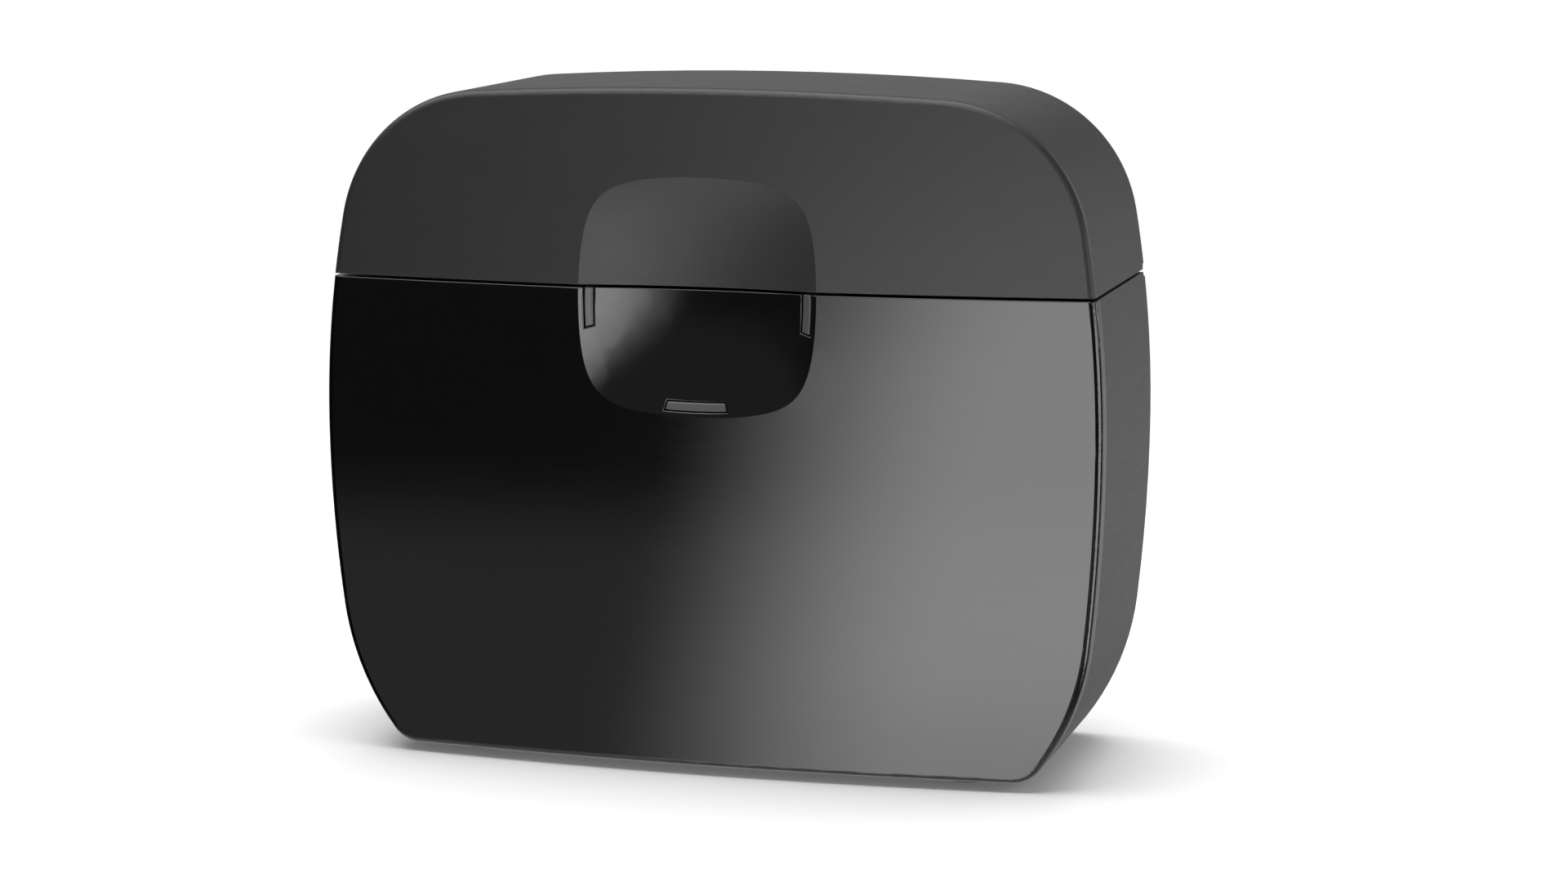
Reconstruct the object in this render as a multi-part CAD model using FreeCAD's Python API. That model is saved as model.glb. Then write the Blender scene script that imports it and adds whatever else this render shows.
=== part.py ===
import FreeCAD, Part
import math
import os

V = FreeCAD.Vector

# Case: outline seen from the front, drawn with tangent arcs
case_width = 96.0
case_depth = 37.0
case_height = 82.6
foot_height = 1.1
widest_height = 41.5
side_upper_radius = 147.0
side_lower_radius = 209.0
side_lower_sweep = math.radians(6.4)
foot_corner_radius = 31.9
base_corner_radius = 4.0
least_corner_radius = 0.3
top_corner_radius = 18.3
crown_radius = 475.0
front_radius = 344.0
front_apex_height = 42.8
back_round = 2.5
wall = 2.0
lid_height = 23.5
seam_gap = 0.3
fit_gap = 0.2
cut_overrun = 1.0
level_slack = 0.001

# Finger dish across the seam
scoop_half_width = 14.6
scoop_half_height = 14.1
scoop_drop = 0.95
scoop_depth = 1.9
scoop_wall = 1.5
scoop_square_share = 0.875
scoop_reach_share = 1.2

# Front panel, its tape and the frame behind it
panel_thickness = 1.3
panel_round = 0.9
tape_thickness = 0.1
tape_width = 3.2
frame_thickness = 1.4
frame_width = 4.5
frame_joint = 0.1
frame_rail_height = 2.2
frame_tab_radius = 3.4
frame_screw_inset = 3.6
frame_screw_height = 9.0
frame_head_radius = 1.7
frame_head_height = 0.7
frame_shank_radius = 1.0
frame_shank_length = 8.0
tower_radius = 2.5
tower_gap = 1.2
screw_gap = 0.05

# Light windows in the dish and the board that lights them
window_inset = 0.57
window_width = 1.27
window_half_angle = math.radians(16.4)
window_gap = 0.12
light_board_half_width = 16.5
light_board_height = 14.4
light_board_thickness = 1.0
light_board_gap = 0.4
light_board_drop = 1.6
led_width = 1.4
led_height = 0.8
led_gap = 0.15
light_boss_radius = 1.9
light_boss_half_spread = 9.5
light_boss_rise = 3.2
light_screw_radius = 0.7
light_screw_length = 3.0
light_head_radius = 1.5
light_head_height = 0.8

# Lid
lid_front_round = 0.9
lid_front_wall = 2.0

# Hinge across the back, its axis on the seam
hinge_inset = 2.2
hinge_barrel_radius = 1.95
hinge_relief_angle = math.radians(50.0)
hinge_relief_lead = 0.2
hinge_barrel_gap = 0.3
hinge_end_gap = 0.3
hinge_web_height = 5.0
lid_knuckle_length = 20.0
body_knuckle_length = 10.0
hinge_pin_radius = 0.9
hinge_running_fit = 0.05
hinge_press_fit = 0.02

# Tray under the lid, and the liner inside the lid
tray_drop = 0.12
tray_rim_width = 3.0
tray_rim_thickness = 1.0
tray_recess = 2.0
tray_wall = 1.4
tray_rib_width = 1.6
tray_rib_reach = 2.4
tray_rib_height = 8.0
tray_rib_spread_share = 0.5
liner_wall = 1.2
hinge_notch_gap = 0.5

# Cups for the two aids and their receivers
deck_margin = 0.5
center_land = 13.0
cup_land = 1.5
cup_wall = 1.0
cup_flange = 1.2
cup_flange_height = 0.8
cup_flange_round = 0.3
slot_width = 10.5
slot_depth = 20.0
receiver_depth = 14.0
cup_corner_share = 0.45
cup_floor_share = 0.16
mark_radius = 1.4
mark_height = 0.5

# Charging coils round the aid cups
coil_gap = 0.1
coil_thickness = 1.2
coil_height = 4.0
coil_rise = 1.0
ferrite_thickness = 1.0
lead_radius = 0.5
lead_bend_radius = 2.0
plug_width = 4.0
plug_length = 4.4
plug_height = 3.2

# Main board and its parts
board_half_width = 30.0
board_thickness = 1.2
board_front_setback = 9.0
board_back_gap = 0.7
board_post_height = 2.5
board_post_radius = 2.5
board_post_margin = 3.6
board_screw_radius = 0.9
board_screw_length = 4.2
board_head_radius = 1.8
board_head_height = 1.2
chip_width = 6.0
chip_height = 0.9
inductor_width = 5.5
inductor_height = 3.0
capacitor_length = 3.2
capacitor_width = 1.6
chip_spread_share = 0.45
inductor_spread_share = 0.66
capacitor_row_share = 0.3

# Power inlet
usb_width = 8.94
usb_height = 3.26
usb_corner_share = 0.45
usb_length = 7.35
usb_wall = 0.3
usb_setback = 1.0
usb_tongue_width = 6.7
usb_tongue_height = 0.7
usb_tongue_length = 4.6
usb_opening_gap = 0.3

# Flat cable between the two boards
flex_width = 6.0
flex_thickness = 0.3
flex_bend_radius = 4.0
flex_socket_width = 8.0
flex_socket_depth = 1.6
flex_socket_length = 3.0
flex_plug_gap = 1.15

# Magnets that hold the lid shut
magnet_length = 8.0
magnet_thickness = 1.6
magnet_height = 2.4
magnet_side_share = 0.6

# Soft pads and screws in the lid
pad_length = 13.0
pad_height = 4.5
pad_round = 1.2
liner_boss_radius = 2.2
liner_boss_gap = 0.1
liner_screw_radius = 0.9
liner_screw_length = 3.6
liner_head_radius = 1.7
liner_head_height = 1.0
liner_screw_setback = 1.9
liner_screw_depth_share = 0.3

# Rubber feet
foot_radius = 4.0
foot_sink = 1.0
foot_edge_round = 0.4
foot_side_share = 0.725
foot_margin = 0.8
foot_back_setback = 6.5

# Worked-out places
half_width = case_width / 2
front_y = -case_depth / 2
back_y = case_depth / 2
seam_height = case_height - lid_height
body_top = seam_height - seam_gap / 2
lid_bottom = seam_height + seam_gap / 2
scoop_height = seam_height - scoop_drop
hinge_y = back_y - hinge_inset
frame_front_depth = panel_thickness + tape_thickness
frame_back_depth = frame_front_depth + frame_thickness
housing_front_depth = frame_back_depth + frame_joint


def polar(center, radius, angle):
    """Point of a circle in the outline's plane, as (x, z)."""
    return (center[0] + radius * math.cos(angle), center[1] + radius * math.sin(angle))


def angle_to(start, end):
    """Direction from one outline point to another."""
    return math.atan2(end[1] - start[1], end[0] - start[0])


def upper_right_crossing(center_a, radius_a, center_b, radius_b):
    """The upper right point where two circles cross."""
    gap = math.hypot(center_b[0] - center_a[0], center_b[1] - center_a[1])
    along = (radius_a ** 2 - radius_b ** 2 + gap ** 2) / (2 * gap)
    turn = math.acos(along / radius_a)
    base = angle_to(center_a, center_b)
    points = [polar(center_a, radius_a, base + turn), polar(center_a, radius_a, base - turn)]
    return max(points, key=sum)


side_upper_center = (half_width - side_upper_radius, widest_height)
side_lower_center = (half_width - side_lower_radius, widest_height)
crown_center = (0, case_height - crown_radius)
foot_center = polar(side_lower_center, side_lower_radius - foot_corner_radius, -side_lower_sweep)
corner_center = upper_right_crossing(side_upper_center, side_upper_radius - top_corner_radius,
                                     crown_center, crown_radius - top_corner_radius)
corner_start = angle_to(side_upper_center, corner_center)
corner_end = angle_to(crown_center, corner_center)


def right_arcs(inset):
    """Arcs of the right half outline, base to crown, as (center, radius, start, end)."""
    corner = max(base_corner_radius - inset, least_corner_radius)
    reach = foot_corner_radius - inset - corner
    corner_z = foot_height + inset + corner
    corner_x = foot_center[0] + math.sqrt(reach ** 2 - (corner_z - foot_center[1]) ** 2)
    base_corner = (corner_x, corner_z)
    foot_start = angle_to(foot_center, base_corner)
    return [(base_corner, corner, -math.pi / 2, foot_start),
            (foot_center, foot_corner_radius - inset, foot_start, -side_lower_sweep),
            (side_lower_center, side_lower_radius - inset, -side_lower_sweep, 0),
            (side_upper_center, side_upper_radius - inset, 0, corner_start),
            (corner_center, top_corner_radius - inset, corner_start, corner_end)]


def arc_edge(center, radius, start, end, side):
    """Arc in the outline's plane, on the right side or mirrored to the left."""
    spots = [polar(center, radius, angle) for angle in (start, (start + end) / 2, end)]
    return Part.Arc(*[V(side * x, 0, z) for x, z in spots]).toShape()


def case_prism(inset, start_y, end_y):
    """Solid with the case outline, set in all round, between two depths."""
    arcs = right_arcs(inset)
    edges = [arc_edge(*arc, 1) for arc in arcs]
    edges.append(arc_edge(crown_center, crown_radius - inset, corner_end, math.pi - corner_end, 1))
    edges += [arc_edge(*arc, -1) for arc in reversed(arcs)]
    base_end = polar(arcs[0][0], arcs[0][1], arcs[0][2])
    edges.append(Part.makeLine(V(-base_end[0], 0, base_end[1]), V(base_end[0], 0, base_end[1])))
    wire = Part.Wire(Part.__sortEdges__(edges))
    wire.translate(V(0, start_y, 0))
    return Part.Face(wire).extrude(V(0, end_y - start_y, 0))


def side_at(height, inset=0):
    """Half width of the outline at a height."""
    for center, radius, start, end in right_arcs(inset):
        if height <= polar(center, radius, end)[1]:
            return center[0] + math.sqrt(radius ** 2 - (height - center[1]) ** 2)
    return corner_center[0]


def front_at(x, z):
    """Depth position of the domed front face at a point of the outline's plane."""
    reach = x ** 2 + (z - front_apex_height) ** 2
    return front_y + front_radius - math.sqrt(front_radius ** 2 - reach)


def dome(depth):
    """Ball whose skin lies the given depth behind the front face."""
    return Part.makeSphere(front_radius - depth, V(0, front_y + front_radius, front_apex_height))


def block(x_from, x_to, y_from, y_to, z_from, z_to):
    """Box between two corners."""
    return Part.makeBox(x_to - x_from, y_to - y_from, z_to - z_from, V(x_from, y_from, z_from))


def slab(low, high):
    """Everything between two heights."""
    return block(-case_width, case_width, -case_depth, case_depth, low, high)


def space(inset, depth, back_gap, low, high):
    """The case drawn in by inset all round, depth at the front and back_gap at the back."""
    solid = case_prism(inset, front_y - cut_overrun, back_y - back_gap)
    return solid.common(dome(depth)).common(slab(low, high))


def rod(radius, start, end):
    """Round bar between two points."""
    return Part.makeCylinder(radius, (end - start).Length, start, end - start)


def rounded(center_x, center_y, width, length, corner, low, high):
    """Upright prism with a rounded rectangle as its plan."""
    x, y = width / 2, length / 2
    slant = corner * (1 - math.sqrt(0.5))
    edges = []
    for sx, sy in ((1, 1), (-1, 1), (-1, -1), (1, -1)):
        ends = [V(sx * x, sy * (y - corner), 0), V(sx * (x - corner), sy * y, 0)]
        middle = V(sx * (x - slant), sy * (y - slant), 0)
        edges.append(Part.Arc(ends[0], middle, ends[1]).toShape())
    edges.append(Part.makeLine(V(x, corner - y, 0), V(x, y - corner, 0)))
    edges.append(Part.makeLine(V(-x, corner - y, 0), V(-x, y - corner, 0)))
    edges.append(Part.makeLine(V(corner - x, y, 0), V(x - corner, y, 0)))
    edges.append(Part.makeLine(V(corner - x, -y, 0), V(x - corner, -y, 0)))
    wire = Part.Wire(Part.__sortEdges__(edges))
    wire.translate(V(center_x, center_y, low))
    return Part.Face(wire).extrude(V(0, 0, high - low))


def level_edges(shape, height):
    """Edges of a shape that lie at one height."""
    return [edge for edge in shape.Edges
            if all(abs(end.Z - height) < level_slack for end in edge.Vertexes)]


def rounded_case(front_round):
    """The whole outer form, with its front and back edges rounded."""
    solid = space(0, 0, 0, 0, case_height + cut_overrun)
    front = min(solid.Faces, key=lambda face: face.CenterOfMass.y)
    solid = solid.makeFillet(front_round, front.Edges)
    back = max(solid.Faces, key=lambda face: face.CenterOfMass.y)
    return solid.makeFillet(back_round, back.Edges)


def bezier_row(first, middle, last):
    """Control values of the parabola through three evenly spaced values."""
    return [first, 2 * middle - (first + last) / 2, last]


def scoop_tool(shift):
    """Everything in front of the finger dish's surface, moved back by shift."""
    steps = [-scoop_reach_share, 0, scoop_reach_share]
    xs = [u * scoop_half_width for u in steps]
    zs = [scoop_height + w * scoop_half_height for w in steps]
    rows = []
    for u, x in zip(steps, xs):
        bowls = [1 - u ** 2 - w ** 2 + (scoop_square_share * u * w) ** 2 for w in steps]
        depths = [front_at(x, z) + scoop_depth * bowl + shift for z, bowl in zip(zs, bowls)]
        rows.append(bezier_row(*depths))
    columns = [bezier_row(*column) for column in zip(*rows)]
    surface = Part.BezierSurface()
    surface.increase(2, 2)
    for j, column in enumerate(columns):
        for i, y in enumerate(column):
            surface.setPole(i + 1, j + 1, V(xs[i], y, zs[j]))
    return surface.toShape().extrude(V(0, -case_depth, 0))


def scoop_edge(angle):
    """Distance from the dish's centre to its edge in a direction."""
    across = math.cos(angle) ** 2 / scoop_half_width ** 2
    up = math.sin(angle) ** 2 / scoop_half_height ** 2
    square = scoop_square_share ** 2 * across * up
    return math.sqrt(2 / (across + up + math.sqrt((across + up) ** 2 - 4 * square)))


def window_prism(direction, gap, end_y):
    """Bar that follows the dish's edge, from ahead of the case to a depth, shrunk by gap."""
    outer = window_inset + gap
    inner = window_inset + window_width - gap
    spread = window_half_angle - gap / scoop_half_width
    angles = [direction - spread, direction, direction + spread]
    rims = []
    for inset in (outer, inner):
        spots = [polar((0, scoop_height), scoop_edge(angle) - inset, angle) for angle in angles]
        rims.append([V(x, front_y - cut_overrun, z) for x, z in spots])
    edges = [Part.Arc(*rims[0]).toShape(), Part.makeLine(rims[0][2], rims[1][2]),
             Part.Arc(*reversed(rims[1])).toShape(), Part.makeLine(rims[1][0], rims[0][0])]
    face = Part.Face(Part.Wire(Part.__sortEdges__(edges)))
    return face.extrude(V(0, end_y - front_y + cut_overrun, 0))


def scoop_floor(x, z):
    """Depth position of the dish's surface."""
    u = x / scoop_half_width
    w = (z - scoop_height) / scoop_half_height
    return front_at(x, z) + scoop_depth * (1 - u ** 2 - w ** 2 + (scoop_square_share * u * w) ** 2)


window_directions = {"right": 0, "left": math.pi, "power": -math.pi / 2}
led_leans = {"right": -window_half_angle / 2, "left": window_half_angle / 2, "power": 0}
light_board_front = front_at(0, scoop_height) + scoop_depth + scoop_wall + light_board_gap
light_board_back = light_board_front + light_board_thickness
light_board_top = body_top - light_board_drop
light_board_bottom = light_board_top - light_board_height
light_boss_height = light_board_bottom + light_boss_rise
window_back = light_board_front - led_height - led_gap
window_seat = window_inset + window_width / 2


# Front panel: domed gloss plate with the lower half of the dish
def make_front_panel():
    case = rounded_case(panel_round).common(slab(0, body_top))
    backing = scoop_tool(scoop_wall).common(space(0, panel_round, wall, 0, body_top))
    panel = case.cut(dome(panel_thickness)).fuse(backing).cut(scoop_tool(0))
    for side in (-1, 1):
        spot_y = scoop_floor(light_boss_half_spread, light_boss_height) + scoop_wall / 2
        start = V(side * light_boss_half_spread, spot_y, light_boss_height)
        end = V(side * light_boss_half_spread, light_board_front, light_boss_height)
        pilot = end - V(0, light_screw_length - light_board_thickness, 0)
        panel = panel.fuse(rod(light_boss_radius, start, end))
        panel = panel.cut(rod(light_screw_radius + screw_gap, pilot, end))
    for direction in window_directions.values():
        panel = panel.cut(window_prism(direction, 0, light_board_back))
    return panel.removeSplitter()


def make_window(direction):
    bar = window_prism(direction, window_gap, window_back)
    return bar.common(slab(0, body_top)).cut(scoop_tool(0))


# Tape ring and frame behind the panel
def make_ring(front_depth, back_depth, width, rail):
    ring = space(0, front_depth, wall, 0, body_top).cut(dome(back_depth))
    opening = space(width, 0, 0, 0, body_top - rail)
    light_gap = light_board_half_width + light_board_gap
    gap = block(-light_gap, light_gap, front_y, 0, light_board_bottom, body_top)
    return ring.cut(opening).cut(gap)


cup_underside = body_top - tray_drop - tray_recess - receiver_depth - cup_wall
frame_screw_spots = []
for spot_height in (cup_underside - tower_gap - tower_radius, frame_screw_height):
    spot_x = side_at(spot_height, wall) - frame_screw_inset
    frame_screw_spots += [(-spot_x, spot_height), (spot_x, spot_height)]


def frame_seat(x, z):
    """Depth position of the frame's front face."""
    return front_at(x, z) + frame_front_depth


def make_front_frame():
    frame = make_ring(frame_front_depth, frame_back_depth, frame_width, frame_rail_height)
    skin = space(0, frame_front_depth, wall, 0, body_top).cut(dome(frame_back_depth))
    for x, z in frame_screw_spots:
        tab = rod(frame_tab_radius, V(x, front_y, z), V(x, 0, z))
        frame = frame.fuse(tab.common(skin))
    for x, z in frame_screw_spots:
        seat = V(x, frame_seat(x, z) + frame_head_height, z)
        frame = frame.cut(rod(frame_head_radius + fit_gap, V(x, front_y, z), seat))
        frame = frame.cut(rod(frame_shank_radius + screw_gap, V(x, front_y, z), V(x, 0, z)))
    return frame.removeSplitter()


def make_frame_screws():
    screws = []
    for x, z in frame_screw_spots:
        seat_y = frame_seat(x, z) + frame_head_height
        head = rod(frame_head_radius, V(x, seat_y - frame_head_height + fit_gap, z), V(x, seat_y, z))
        shank = rod(frame_shank_radius, V(x, seat_y, z), V(x, seat_y + frame_shank_length, z))
        screws.append(head.fuse(shank))
    return screws


def make_panel_tape():
    tape = make_ring(panel_thickness, frame_front_depth, tape_width, frame_rail_height)
    return tape.cut(case_prism(0, front_y, back_y).cut(case_prism(fit_gap, front_y, back_y)))


# Housing: tub with the hinge's outer knuckles, screw towers and posts
board_bottom = foot_height + wall + board_post_height
board_top = board_bottom + board_thickness
board_back = back_y - wall - board_back_gap
board_front = front_y + board_front_setback
usb_center_height = board_top + usb_height / 2
usb_mouth = back_y - usb_setback
board_screw_spots = [(sx * (board_half_width - board_post_margin), y) for sx in (-1, 1)
                     for y in (board_front + board_post_margin, board_back - board_post_margin)]
tray_rim_top = body_top - tray_drop
tray_rim_bottom = tray_rim_top - tray_rim_thickness
hinge_half_length = lid_knuckle_length / 2 + hinge_end_gap + body_knuckle_length
foot_x = foot_side_share * side_at(foot_height + base_corner_radius)
foot_front = front_at(foot_x + foot_radius, foot_height) + housing_front_depth + foot_margin + foot_radius
foot_spots = [(sx * foot_x, y) for sx in (-1, 1) for y in (foot_front, back_y - foot_back_setback)]


def upright_port(width, height, corner, start_y, end_y):
    """Rounded port form lying along the depth at the power inlet's height."""
    form = rounded(0, 0, width, height, corner, 0, end_y - start_y)
    form.rotate(V(0, 0, 0), V(1, 0, 0), 90)
    form.translate(V(0, end_y, usb_center_height))
    return form


def hinge_relief(up):
    """Wedge cut behind the axis so that lid and body can turn past each other."""
    start = hinge_y - hinge_relief_lead
    end = back_y + cut_overrun
    rise = up * (end - start) * math.tan(hinge_relief_angle)
    corners = [V(-case_width, start, seam_height), V(-case_width, end, seam_height),
               V(-case_width, end, seam_height + rise)]
    return Part.Face(Part.makePolygon(corners + corners[:1])).extrude(V(2 * case_width, 0, 0))


def hinge_bar(radius, start_x, end_x):
    return rod(radius, V(start_x, hinge_y, seam_height), V(end_x, hinge_y, seam_height))


def knuckle(start_x, end_x, up):
    """Barrel with the web that ties it to the back wall above or below."""
    front = hinge_y - hinge_barrel_radius
    back = back_y - wall / 2
    shoulder = seam_height + up * (back - hinge_y + hinge_relief_lead) * math.tan(hinge_relief_angle)
    end = seam_height + up * hinge_web_height
    spots = [(front, seam_height), (hinge_y, seam_height), (back, shoulder), (back, end), (front, end)]
    corners = [V(start_x, y, z) for y, z in spots]
    web = Part.Face(Part.makePolygon(corners + corners[:1])).extrude(V(end_x - start_x, 0, 0))
    return hinge_bar(hinge_barrel_radius, start_x, end_x).fuse(web)


body_knuckle_spans = [(-hinge_half_length, -hinge_half_length + body_knuckle_length),
                      (hinge_half_length - body_knuckle_length, hinge_half_length)]


def make_housing():
    depth = housing_front_depth
    outer = rounded_case(panel_round).common(dome(depth)).common(slab(0, body_top))
    tub = outer.cut(space(wall, 0, wall, 0, body_top + cut_overrun))
    inside = space(wall / 2, depth, wall / 2, 0, body_top)
    for x, z in frame_screw_spots:
        start_y = frame_seat(x, z) + frame_thickness + frame_joint
        tower = rod(tower_radius, V(x, start_y, z), V(x, back_y, z)).common(inside)
        pilot_end = frame_seat(x, z) + frame_head_height + frame_shank_length + fit_gap
        tub = tub.fuse(tower).cut(rod(frame_shank_radius + screw_gap, V(x, front_y, z), V(x, pilot_end, z)))
    for x, y in board_screw_spots:
        post = rod(board_post_radius, V(x, y, foot_height + wall / 2), V(x, y, board_bottom))
        pilot = rod(board_screw_radius + screw_gap, V(x, y, foot_height + wall), V(x, y, board_bottom))
        tub = tub.fuse(post).cut(pilot)
    for side in (-1, 1):
        reach = side * (side_at(tray_rim_bottom, wall) - tray_rib_reach)
        for y in (-tray_rib_spread_share * back_y, tray_rib_spread_share * back_y):
            rib_x = sorted([reach, side * half_width])
            rib = block(rib_x[0], rib_x[1], y - tray_rib_width / 2, y + tray_rib_width / 2,
                        tray_rim_bottom - tray_rib_height, tray_rim_bottom)
            tub = tub.fuse(rib.common(inside))
    tub = tub.cut(hinge_relief(-1))
    tub = tub.cut(hinge_bar(hinge_barrel_radius + hinge_barrel_gap, -hinge_half_length, hinge_half_length))
    for start_x, end_x in body_knuckle_spans:
        tub = tub.fuse(knuckle(start_x, end_x, -1))
    tub = tub.cut(hinge_bar(hinge_pin_radius + hinge_press_fit, -half_width, half_width))
    opening = 2 * usb_opening_gap
    tub = tub.cut(upright_port(usb_width + opening, usb_height + opening, usb_corner_share * usb_height,
                               board_back, back_y + cut_overrun))
    for x, y in foot_spots:
        tub = tub.cut(rod(foot_radius + fit_gap, V(x, y, 0), V(x, y, foot_height + foot_sink)))
    return tub.removeSplitter()


def make_rubber_feet():
    feet = []
    for x, y in foot_spots:
        foot = rod(foot_radius, V(x, y, 0), V(x, y, foot_height + foot_sink))
        feet.append(foot.makeFillet(foot_edge_round, level_edges(foot, 0)))
    return feet


def make_hinge_pin():
    return hinge_bar(hinge_pin_radius, -hinge_half_length, hinge_half_length)


# Tray and liner: shallow pans with a rim that covers the gap to the wall
hinge_notch = block(-hinge_half_length - hinge_notch_gap, hinge_half_length + hinge_notch_gap,
                    hinge_y - hinge_barrel_radius - hinge_notch_gap, back_y, 0, case_height)
rim_inset = wall + fit_gap
pan_inset = rim_inset + tray_rim_width
tray_front_depth = housing_front_depth + fit_gap
liner_front_depth = lid_front_wall + fit_gap
deck_top = tray_rim_top - tray_recess
deck_bottom = deck_top - tray_wall


def rim_plate(front_depth, low, high):
    plate = space(rim_inset, front_depth, rim_inset, low, high)
    return plate.cut(scoop_tool(scoop_wall + fit_gap)).cut(hinge_notch)


def pan_space(front_depth, thickness, low, high):
    inset = pan_inset + thickness
    return space(inset, front_depth + tray_rim_width + thickness, inset, low, high)


def cup_blank(spot, grow, low, high):
    """Upright prism with a cup's plan, grown all round."""
    x, width = spot
    corner = cup_corner_share * min(width, cup_length) + grow
    return rounded(x, cup_y, width + 2 * grow, cup_length + 2 * grow, corner, low, high)


deck_side = side_at(deck_top, pan_inset + tray_wall)
deck_front = front_at(deck_side, deck_top) + tray_front_depth + tray_rim_width + tray_wall
deck_back = back_y - pan_inset - tray_wall
cup_y = (deck_front + deck_back) / 2
cup_length = deck_back - deck_front - 2 * (deck_margin + cup_flange)
slot_x = center_land / 2 + cup_flange + slot_width / 2
receiver_start = slot_x + slot_width / 2 + 2 * cup_flange + cup_land
receiver_end = deck_side - deck_margin - cup_flange
receiver_width = receiver_end - receiver_start
receiver_x = (receiver_start + receiver_end) / 2
cup_top = deck_top + cup_flange_height
slot_floor = cup_top - slot_depth
cup_spots = {"aid_cup_right": ((slot_x, slot_width), slot_depth),
             "aid_cup_left": ((-slot_x, slot_width), slot_depth),
             "receiver_cup_right": ((receiver_x, receiver_width), receiver_depth),
             "receiver_cup_left": ((-receiver_x, receiver_width), receiver_depth)}
mark_spots = {"right_mark": center_land / 4, "left_mark": -center_land / 4}


def make_charging_tray():
    tray = rim_plate(tray_front_depth, tray_rim_bottom, tray_rim_top)
    tray = tray.fuse(pan_space(tray_front_depth, 0, deck_bottom, tray_rim_top))
    tray = tray.cut(pan_space(tray_front_depth, tray_wall, deck_top, case_height))
    for spot, depth in cup_spots.values():
        tray = tray.cut(cup_blank(spot, cup_wall + fit_gap, 0, deck_top))
    for x in mark_spots.values():
        seat = V(x, cup_y, deck_top - mark_height)
        tray = tray.cut(rod(mark_radius + screw_gap, seat, V(x, cup_y, deck_top)))
    return tray.removeSplitter()


def make_cup(spot, depth):
    floor = cup_top - depth
    cup = cup_blank(spot, cup_wall, floor - cup_wall, deck_top)
    flange = cup_blank(spot, cup_flange, deck_top, cup_top)
    flange = flange.makeFillet(cup_flange_round, level_edges(flange, cup_top))
    hollow = cup_blank(spot, 0, floor, cup_top)
    hollow = hollow.makeFillet(cup_floor_share * spot[1], level_edges(hollow, floor))
    return cup.fuse(flange).cut(hollow).removeSplitter()


def make_mark(x):
    return rod(mark_radius, V(x, cup_y, deck_top - mark_height), V(x, cup_y, deck_top))


# Coils, ferrites and their leads
coil_low = slot_floor - cup_wall + coil_rise
coil_high = coil_low + coil_height


def make_coil(side):
    spot = (side * slot_x, slot_width)
    inner = cup_wall + coil_gap
    coil = cup_blank(spot, inner + coil_thickness, coil_low, coil_high)
    return coil.cut(cup_blank(spot, inner, coil_low, coil_high))


def make_ferrite(side):
    under = slot_floor - cup_wall
    return cup_blank((side * slot_x, slot_width), cup_wall, under - ferrite_thickness, under)


lead_start_x = slot_x - slot_width / 2 - cup_wall - coil_gap - coil_thickness
lead_x = lead_start_x - lead_bend_radius
lead_height = (coil_low + coil_high) / 2
plug_top = board_top + plug_height


def make_lead(side):
    turn = V(side * lead_start_x, cup_y, lead_height - lead_bend_radius)
    slant = lead_bend_radius * math.sqrt(0.5)
    spots = [V(side * lead_start_x, cup_y, lead_height), turn + V(-side * slant, 0, slant),
             V(side * lead_x, cup_y, lead_height - lead_bend_radius)]
    drop = Part.makeLine(spots[2], V(side * lead_x, cup_y, plug_top))
    path = Part.Wire([Part.Arc(*spots).toShape(), drop])
    ring = Part.Wire(Part.makeCircle(lead_radius, spots[0], V(1, 0, 0)))
    return path.makePipeShell([ring], True, False)


def make_coil_plugs():
    return [block(side * lead_x - plug_width / 2, side * lead_x + plug_width / 2, cup_y - plug_length / 2,
                  cup_y + plug_length / 2, board_top, plug_top) for side in (-1, 1)]


# Main board, the parts soldered on it and the power inlet
def make_main_board():
    board = block(-board_half_width, board_half_width, board_front, board_back, board_bottom, board_top)
    for x, y in board_screw_spots:
        board = board.cut(rod(board_screw_radius + fit_gap, V(x, y, board_bottom), V(x, y, board_top)))
    return board


def make_board_screws():
    screws = []
    for x, y in board_screw_spots:
        head = rod(board_head_radius, V(x, y, board_top), V(x, y, board_top + board_head_height))
        tip = board_top - min(board_screw_length, board_thickness + board_post_height)
        screws.append(head.fuse(rod(board_screw_radius, V(x, y, tip), V(x, y, board_top))))
    return screws


def chip(x, y, width, length, height):
    return block(x - width / 2, x + width / 2, y - length / 2, y + length / 2,
                 board_top, board_top + height)


def make_board_chips():
    chips = []
    middle = (board_front + board_back) / 2
    row = board_front + capacitor_row_share * (board_back - board_front)
    for side in (-1, 1):
        chip_x = side * chip_spread_share * board_half_width
        inductor_x = side * inductor_spread_share * board_half_width
        chips.append(chip(chip_x, middle, chip_width, chip_width, chip_height))
        chips.append(chip(inductor_x, middle, inductor_width, inductor_width, inductor_height))
        for x in (chip_x, inductor_x):
            chips.append(chip(x, row, capacitor_length, capacitor_width, capacitor_width))
    return chips


def make_usb_socket():
    corner = usb_corner_share * usb_height
    shell = upright_port(usb_width, usb_height, corner, usb_mouth - usb_length, usb_mouth)
    hollow = upright_port(usb_width - 2 * usb_wall, usb_height - 2 * usb_wall, corner - usb_wall,
                          usb_mouth - usb_length + usb_wall, usb_mouth)
    return shell.cut(hollow)


def make_usb_tongue():
    root = usb_mouth - usb_length + usb_wall
    return block(-usb_tongue_width / 2, usb_tongue_width / 2, root, root + usb_tongue_length,
                 usb_center_height - usb_tongue_height / 2, usb_center_height + usb_tongue_height / 2)


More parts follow.
